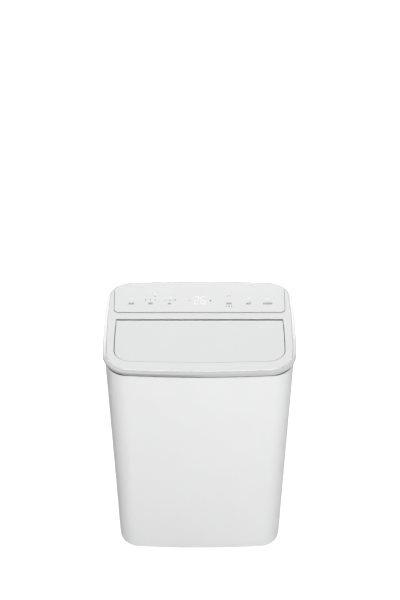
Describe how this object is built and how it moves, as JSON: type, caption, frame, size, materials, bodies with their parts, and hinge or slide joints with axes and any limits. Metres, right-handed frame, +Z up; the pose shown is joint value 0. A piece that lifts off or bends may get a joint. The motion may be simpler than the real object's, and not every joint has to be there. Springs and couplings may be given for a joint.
{
  "type": "portable air conditioner",
  "caption": "Free-standing portable air conditioner on casters with a swinging top outlet flap, guide vanes, touch panel, rear filters and exhaust port.",
  "frame": {"origin": "on the floor, below the middle of the whole product's plan box", "axes": "+Z up, front face towards -Y, exhaust port towards +Y, +X to the right of someone facing the front"},
  "size_m": [0.44, 0.334, 0.7062],
  "materials": {
    "casing_white": "satin white moulding",
    "rim_silver": "silver lacquer on moulded plastic",
    "deck_white": "fine matt white moulding",
    "panel_white": "matt printed film",
    "grille_white": "matt white moulding",
    "dark_plastic": "dark grey moulding",
    "chassis_grey": "grey moulding",
    "filter_mesh": "woven nylon mesh in a frame",
    "caster_black": "black nylon",
    "fin_aluminium": "thin fins",
    "copper": "drawn copper tube",
    "compressor_black": "black enamel",
    "motor_steel": "zinc-plated sheet",
    "board_green": "solder mask",
    "can_aluminium": "drawn can",
    "rubber_black": "moulded rubber"
  },
  "bodies": {
    "cabinet": {"top_rim": "rim_silver", "top_frame": "dark_plastic", "top_deck": "deck_white", "control_panel": "panel_white", "display_board": "board_green", "flap_motor": "motor_steel", "outlet_throat": "dark_plastic", "front_casing": "casing_white", "rear_casing": "casing_white", "left_handle": "grille_white", "right_handle": "grille_white", "exhaust_collar": "grille_white", "exhaust_duct": "chassis_grey", "upper_drain_spout": "chassis_grey", "lower_drain_spout": "chassis_grey", "cord_gland": "chassis_grey", "base_pan": "casing_white", "partition": "chassis_grey", "compressor": "compressor_black", "compressor_feet": "rubber_black", "evaporator": "fin_aluminium", "condenser": "fin_aluminium", "refrigerant_pipes": "copper", "evaporator_scroll": "dark_plastic", "evaporator_motor": "motor_steel", "condenser_scroll": "dark_plastic", "condenser_motor": "motor_steel", "splash_motor": "motor_steel", "electrical_box": "motor_steel", "circuit_board": "board_green", "capacitor": "can_aluminium", "float_switch": "chassis_grey", "casing_screws": "motor_steel"},
    "flap": {"outlet_flap": "deck_white"},
    "vane_1": {"vane_1": "dark_plastic"},
    "vane_2": {"vane_2": "dark_plastic"},
    "vane_3": {"vane_3": "dark_plastic"},
    "vane_4": {"vane_4": "dark_plastic"},
    "vane_5": {"vane_5": "dark_plastic"},
    "vane_6": {"vane_6": "dark_plastic"},
    "link": {"vane_link": "dark_plastic"},
    "upper_filter_unit": {"upper_grille": "grille_white", "upper_filter": "filter_mesh"},
    "lower_filter_unit": {"lower_grille": "grille_white", "lower_filter": "filter_mesh"},
    "upper_cap": {"upper_drain_cap": "dark_plastic"},
    "lower_cap": {"lower_drain_cap": "dark_plastic"},
    "caster_fl": {"caster_yoke_fl": "caster_black"},
    "wheels_fl": {"caster_wheels_fl": "caster_black"},
    "caster_fr": {"caster_yoke_fr": "caster_black"},
    "wheels_fr": {"caster_wheels_fr": "caster_black"},
    "caster_rl": {"caster_yoke_rl": "caster_black"},
    "wheels_rl": {"caster_wheels_rl": "caster_black"},
    "caster_rr": {"caster_yoke_rr": "caster_black"},
    "wheels_rr": {"caster_wheels_rr": "caster_black"},
    "evaporator_blower": {"evaporator_wheel": "chassis_grey"},
    "condenser_blower": {"condenser_wheel": "chassis_grey"},
    "splash": {"splash_wheel": "chassis_grey"},
    "float": {"float": "grille_white"}
  },
  "joints": [
    {"name": "flap_hinge", "type": "hinge", "parent": "cabinet", "child": "flap", "pos_m": [0, -0.0022, 0.697], "axis": [-1, 0, 0], "range_deg": [0, 65]},
    {"name": "vane_1_swing", "type": "hinge", "parent": "cabinet", "child": "vane_1", "pos_m": [-0.14, -0.061, 0.668], "axis": [0, 1, 0], "range_deg": [-25, 25]},
    {"name": "vane_2_swing", "type": "hinge", "parent": "cabinet", "child": "vane_2", "pos_m": [-0.084, -0.061, 0.668], "axis": [0, 1, 0], "range_deg": [-25, 25]},
    {"name": "vane_3_swing", "type": "hinge", "parent": "cabinet", "child": "vane_3", "pos_m": [-0.028, -0.061, 0.668], "axis": [0, 1, 0], "range_deg": [-25, 25]},
    {"name": "vane_4_swing", "type": "hinge", "parent": "cabinet", "child": "vane_4", "pos_m": [0.028, -0.061, 0.668], "axis": [0, 1, 0], "range_deg": [-25, 25]},
    {"name": "vane_5_swing", "type": "hinge", "parent": "cabinet", "child": "vane_5", "pos_m": [0.084, -0.061, 0.668], "axis": [0, 1, 0], "range_deg": [-25, 25]},
    {"name": "vane_6_swing", "type": "hinge", "parent": "cabinet", "child": "vane_6", "pos_m": [0.14, -0.061, 0.668], "axis": [0, 1, 0], "range_deg": [-25, 25]},
    {"name": "link_pivot", "type": "hinge", "parent": "vane_1", "child": "link", "pos_m": [-0.14, -0.061, 0.6545], "axis": [0, 1, 0], "range_deg": [-25, 25]},
    {"name": "upper_filter_pull", "type": "slide", "parent": "cabinet", "child": "upper_filter_unit", "axis": [0, 1, 0], "range_m": [0, 0.05]},
    {"name": "lower_filter_pull", "type": "slide", "parent": "cabinet", "child": "lower_filter_unit", "axis": [0, 1, 0], "range_m": [0, 0.05]},
    {"name": "upper_cap_pull", "type": "slide", "parent": "cabinet", "child": "upper_cap", "axis": [0, 1, 0], "range_m": [0, 0.02]},
    {"name": "lower_cap_pull", "type": "slide", "parent": "cabinet", "child": "lower_cap", "axis": [0, 1, 0], "range_m": [0, 0.02]},
    {"name": "caster_fl_swivel", "type": "hinge", "parent": "cabinet", "child": "caster_fl", "pos_m": [-0.15759, -0.10309, 0.045], "axis": [0, 0, 1], "continuous": true},
    {"name": "caster_fl_roll", "type": "hinge", "parent": "caster_fl", "child": "wheels_fl", "pos_m": [-0.15759, -0.09109, 0.015], "axis": [1, 0, 0], "continuous": true},
    {"name": "caster_fr_swivel", "type": "hinge", "parent": "cabinet", "child": "caster_fr", "pos_m": [0.15759, -0.10309, 0.045], "axis": [0, 0, 1], "continuous": true},
    {"name": "caster_fr_roll", "type": "hinge", "parent": "caster_fr", "child": "wheels_fr", "pos_m": [0.15759, -0.09109, 0.015], "axis": [1, 0, 0], "continuous": true},
    {"name": "caster_rl_swivel", "type": "hinge", "parent": "cabinet", "child": "caster_rl", "pos_m": [-0.15759, 0.08201, 0.045], "axis": [0, 0, 1], "continuous": true},
    {"name": "caster_rl_roll", "type": "hinge", "parent": "caster_rl", "child": "wheels_rl", "pos_m": [-0.15759, 0.09401, 0.015], "axis": [1, 0, 0], "continuous": true},
    {"name": "caster_rr_swivel", "type": "hinge", "parent": "cabinet", "child": "caster_rr", "pos_m": [0.15759, 0.08201, 0.045], "axis": [0, 0, 1], "continuous": true},
    {"name": "caster_rr_roll", "type": "hinge", "parent": "caster_rr", "child": "wheels_rr", "pos_m": [0.15759, 0.09401, 0.015], "axis": [1, 0, 0], "continuous": true},
    {"name": "evaporator_blower_spin", "type": "hinge", "parent": "cabinet", "child": "evaporator_blower", "pos_m": [-0.045, -0.013, 0.49], "axis": [0, 1, 0], "continuous": true},
    {"name": "condenser_blower_spin", "type": "hinge", "parent": "cabinet", "child": "condenser_blower", "pos_m": [0.068, -0.013, 0.172], "axis": [0, 1, 0], "continuous": true},
    {"name": "splash_spin", "type": "hinge", "parent": "cabinet", "child": "splash", "pos_m": [-0.045, -0.013, 0.07], "axis": [0, 1, 0], "continuous": true},
    {"name": "float_rise", "type": "slide", "parent": "cabinet", "child": "float", "axis": [0, 0, 1], "range_m": [0, 0.015]}
  ],
  "couplings": [
    {"joint": "vane_2_swing", "follows": "vane_1_swing", "ratio": 1},
    {"joint": "vane_3_swing", "follows": "vane_1_swing", "ratio": 1},
    {"joint": "vane_4_swing", "follows": "vane_1_swing", "ratio": 1},
    {"joint": "vane_5_swing", "follows": "vane_1_swing", "ratio": 1},
    {"joint": "vane_6_swing", "follows": "vane_1_swing", "ratio": 1},
    {"joint": "link_pivot", "follows": "vane_1_swing", "ratio": -1}
  ]
}
